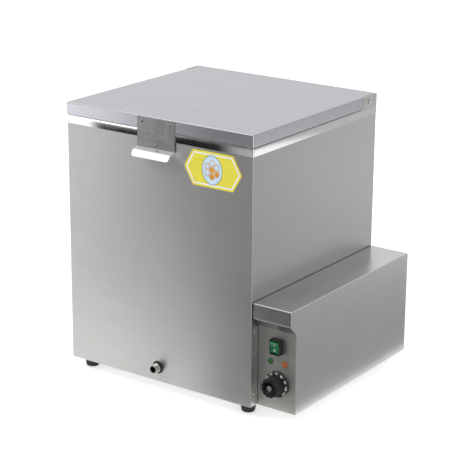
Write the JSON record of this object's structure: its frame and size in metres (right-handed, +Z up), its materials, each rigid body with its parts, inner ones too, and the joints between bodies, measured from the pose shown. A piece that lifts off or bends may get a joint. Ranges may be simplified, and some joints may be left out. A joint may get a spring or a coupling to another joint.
{
  "type": "honey extractor",
  "caption": "Heated comb-melting cabinet: insulated tank, hinged lid with a front lip handle, front drain nipple, and a side control box with rocker switch, lamps and thermostat knob.",
  "frame": {"origin": "centre of the footprint at floor level, under the rubber feet", "axes": "+Z up, the drain, handle and controls face -Y, the control box is on the +X side"},
  "size_m": [0.6037, 0.5404, 0.628],
  "materials": {
    "brushed_stainless": "fine vertical brushed grain",
    "polished_stainless": "polished",
    "satin_stainless": "satin",
    "threaded_stainless": "machined thread",
    "element_sheath": "heat-tinted tube",
    "copper_tube": "drawn copper",
    "nickelled_brass": "nickel plated",
    "zinc_rail": "zinc plated",
    "spun_aluminium": "spun face",
    "black_rubber": "moulded",
    "silicone": "translucent silicone",
    "mineral_wool": "loose fibre slab",
    "black_plastic": "moulded",
    "white_plastic": "moulded",
    "wire_sleeve": "extruded sleeve",
    "green_rocker": "translucent",
    "green_lens": "translucent",
    "orange_lens": "translucent",
    "yellow_label": "printed film"
  },
  "bodies": {
    "cabinet": {"base_plate": "brushed_stainless", "box_wires": "wire_sleeve", "bulb_pocket": "element_sheath", "cable_gland": "black_plastic", "control_panel": "brushed_stainless", "drain_grommet": "black_rubber", "drain_nipple": "threaded_stainless", "element_flange": "satin_stainless", "element_gasket": "black_rubber", "element_studs": "polished_stainless", "feet": "black_rubber", "foot_bolts": "polished_stainless", "frame_rails": "satin_stainless", "heating_element": "element_sheath", "hinge_cheek_left": "brushed_stainless", "hinge_cheek_right": "brushed_stainless", "inner_tank": "satin_stainless", "label_plate": "yellow_label", "lamp_bodies": "black_plastic", "lamp_lens_green": "green_lens", "lamp_lens_orange": "orange_lens", "lid_stops": "black_rubber", "mounting_rail": "zinc_rail", "outer_casing": "brushed_stainless", "rear_panel": "brushed_stainless", "rear_panel_screws": "polished_stainless", "rear_well_tray": "brushed_stainless", "relay": "black_plastic", "rim_band": "polished_stainless", "sheet_rivets": "polished_stainless", "side_box_back": "brushed_stainless", "side_box_cover": "brushed_stainless", "side_box_floor": "brushed_stainless", "side_box_side": "brushed_stainless", "strainer_brackets": "satin_stainless", "strainer_plate": "satin_stainless", "switch_housing": "black_plastic", "tank_side_right": "satin_stainless", "terminal_block": "white_plastic", "thermostat_body": "black_plastic", "thermostat_bulb": "copper_tube", "thermostat_bush": "nickelled_brass", "wool_floor": "mineral_wool", "wool_walls": "mineral_wool"},
    "lid": {"lid_skin": "brushed_stainless", "lid_pan": "satin_stainless", "lid_wool": "mineral_wool", "lid_seal": "silicone", "lid_handle": "polished_stainless", "handle_rivets": "polished_stainless", "hinge_brackets": "brushed_stainless", "hinge_screws": "polished_stainless", "hinge_nuts": "polished_stainless", "hinge_washers": "polished_stainless"},
    "thermostat_dial": {"thermostat_knob": "black_plastic", "thermostat_shaft": "polished_stainless", "knob_cap": "spun_aluminium"},
    "rocker": {"switch_rocker": "green_rocker"}
  },
  "joints": [
    {"name": "lid_hinge", "type": "hinge", "parent": "cabinet", "child": "lid", "pos_m": [-0.04745, 0.21625, 0.6144], "axis": [-1, 0, 0], "range_deg": [0, 100]},
    {"name": "dial_turn", "type": "hinge", "parent": "cabinet", "child": "thermostat_dial", "pos_m": [0.25455, -0.21875, 0.086], "axis": [0, 1, 0], "range_deg": [0, 280]},
    {"name": "rocker_tilt", "type": "hinge", "parent": "cabinet", "child": "rocker", "pos_m": [0.25455, -0.22575, 0.173], "axis": [-1, 0, 0], "range_deg": [0, 16]}
  ]
}
